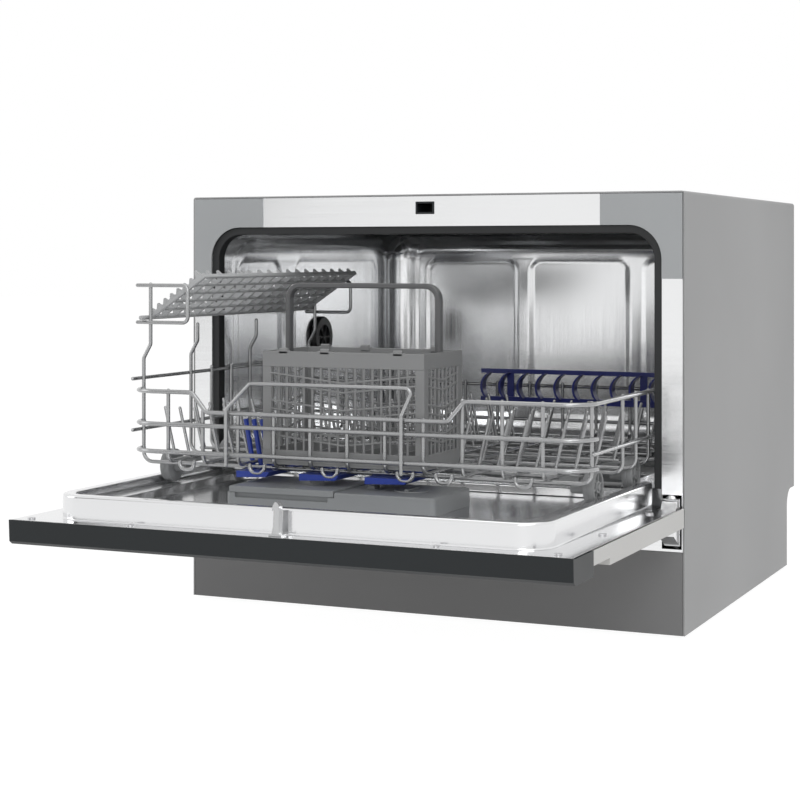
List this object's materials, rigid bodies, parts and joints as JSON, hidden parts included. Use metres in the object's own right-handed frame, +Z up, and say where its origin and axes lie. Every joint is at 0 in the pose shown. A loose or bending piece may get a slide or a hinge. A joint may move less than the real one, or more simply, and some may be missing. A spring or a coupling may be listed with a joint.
{
  "type": "countertop dishwasher",
  "caption": "Compact front-loading dishwasher shown with its drop-down door open and its wheeled wire rack rolled out, with cutlery basket and cup shelf.",
  "frame": {"origin": "on the surface it stands on, under the middle of the box round the whole machine with its door open", "axes": "+Z up, -Y towards the user and the open door, +Y towards the back, +X to the right seen from the front"},
  "size_m": [0.55, 0.838, 0.438],
  "materials": {
    "grey_paint": "satin",
    "dark_paint": "satin",
    "silver_paint": "satin",
    "steel": "polished",
    "charcoal_plastic": "satin",
    "grey_plastic": "satin",
    "light_plastic": "satin",
    "coated_wire": "satin",
    "blue_plastic": "gloss",
    "black_plastic": "matte",
    "rubber_black": "matte",
    "window": "gloss",
    "board_green": "matte"
  },
  "bodies": {
    "machine": {"wrapper": "grey_paint", "base_tray": "black_plastic", "feet": "rubber_black", "plinth": "dark_paint", "back_panel": "grey_paint", "rear_recess": "black_plastic", "rear_screws": "steel", "front_frame": "steel", "corner_pieces": "grey_plastic", "door_lock": "charcoal_plastic", "tub": "steel", "tub_pan": "steel", "tub_seal": "rubber_black", "vent_ring": "black_plastic", "sump": "grey_plastic", "wash_pump": "black_plastic", "drain_pump": "light_plastic", "heater": "steel", "drain_connector": "grey_plastic", "inlet_valve": "light_plastic", "cord_gland": "black_plastic", "hinge_brackets": "steel", "hinge_pins": "steel", "hinge_springs": "steel", "door_outer": "silver_paint", "control_panel": "charcoal_plastic", "display_window": "window", "control_board": "board_green", "inner_door": "steel", "latch_hook": "light_plastic", "door_screws": "steel", "dispenser": "grey_plastic"},
    "filter": {"filter_cup": "grey_plastic"},
    "spray_arm": {"spray_arm": "grey_plastic"},
    "float": {"float_dome": "grey_plastic"},
    "button_1": {"button_1": "light_plastic"},
    "button_2": {"button_2": "light_plastic"},
    "button_3": {"button_3": "light_plastic"},
    "button_4": {"button_4": "light_plastic"},
    "detergent_lid": {"detergent_lid": "grey_plastic"},
    "lid_latch": {"lid_latch": "grey_plastic"},
    "rinse_cap": {"rinse_cap": "grey_plastic"},
    "rack": {"rack_front": "coated_wire", "rack_left": "coated_wire", "rack_right": "coated_wire", "rack_rear": "coated_wire", "rack_floor": "coated_wire", "plate_tines": "coated_wire", "shelf_brackets": "coated_wire", "roller_brackets": "grey_plastic", "roller_axles": "grey_plastic", "glass_holder": "blue_plastic", "plate_props": "blue_plastic"},
    "rollers_1": {"rollers_1": "grey_plastic"},
    "rollers_2": {"rollers_2": "grey_plastic"},
    "rollers_3": {"rollers_3": "grey_plastic"},
    "cup_shelf": {"cup_shelf": "light_plastic"},
    "basket": {"cutlery_basket": "light_plastic", "basket_handle": "light_plastic"}
  },
  "joints": [
    {"name": "rack_slide", "type": "slide", "parent": "machine", "child": "rack", "axis": [0, -1, 0], "range_m": [-0.232, 0.15]},
    {"name": "rollers_1_turn", "type": "hinge", "parent": "rack", "child": "rollers_1", "pos_m": [0, -0.211, 0.1618], "axis": [1, 0, 0], "continuous": true},
    {"name": "rollers_2_turn", "type": "hinge", "parent": "rack", "child": "rollers_2", "pos_m": [0, -0.092, 0.1618], "axis": [1, 0, 0], "continuous": true},
    {"name": "rollers_3_turn", "type": "hinge", "parent": "rack", "child": "rollers_3", "pos_m": [0, 0.027, 0.1618], "axis": [1, 0, 0], "continuous": true},
    {"name": "cup_shelf_fold", "type": "hinge", "parent": "rack", "child": "cup_shelf", "pos_m": [-0.233, -0.0645, 0.3125], "axis": [0, -1, 0], "range_deg": [-34, 46]},
    {"name": "basket_lift", "type": "slide", "parent": "rack", "child": "basket", "axis": [0, 0, 1], "range_m": [0, 0.12]},
    {"name": "spray_arm_turn", "type": "hinge", "parent": "machine", "child": "spray_arm", "pos_m": [0, 0.155, 0.128], "axis": [0, 0, 1], "continuous": true},
    {"name": "filter_turn", "type": "hinge", "parent": "machine", "child": "filter", "pos_m": [0.112, 0.249, 0.1], "axis": [0, 0, 1], "range_deg": [0, 90]},
    {"name": "float_rise", "type": "slide", "parent": "machine", "child": "float", "axis": [0, 0, 1], "range_m": [0, 0.006]},
    {"name": "button_1_press", "type": "slide", "parent": "machine", "child": "button_1", "axis": [0, 0, 1], "range_m": [0, 0.001], "stiffness_N_per_m": 600},
    {"name": "button_2_press", "type": "slide", "parent": "machine", "child": "button_2", "axis": [0, 0, 1], "range_m": [0, 0.001], "stiffness_N_per_m": 600},
    {"name": "button_3_press", "type": "slide", "parent": "machine", "child": "button_3", "axis": [0, 0, 1], "range_m": [0, 0.001], "stiffness_N_per_m": 600},
    {"name": "button_4_press", "type": "slide", "parent": "machine", "child": "button_4", "axis": [0, 0, 1], "range_m": [0, 0.001], "stiffness_N_per_m": 600},
    {"name": "detergent_lid_slide", "type": "slide", "parent": "machine", "child": "detergent_lid", "axis": [-1, 0, 0], "range_m": [0, 0.05]},
    {"name": "lid_latch_press", "type": "slide", "parent": "machine", "child": "lid_latch", "axis": [0, 0, -1], "range_m": [0, 0.002], "stiffness_N_per_m": 400, "springref_m": -0.0005},
    {"name": "rinse_cap_turn", "type": "hinge", "parent": "machine", "child": "rinse_cap", "pos_m": [0.058, -0.247, 0.152], "axis": [0, 0, 1], "range_deg": [0, 90]}
  ],
  "couplings": [
    {"joint": "rollers_1_turn", "follows": "rack_slide", "rad_per_m": 60.606},
    {"joint": "rollers_2_turn", "follows": "rack_slide", "rad_per_m": 60.606},
    {"joint": "rollers_3_turn", "follows": "rack_slide", "rad_per_m": 60.606}
  ]
}
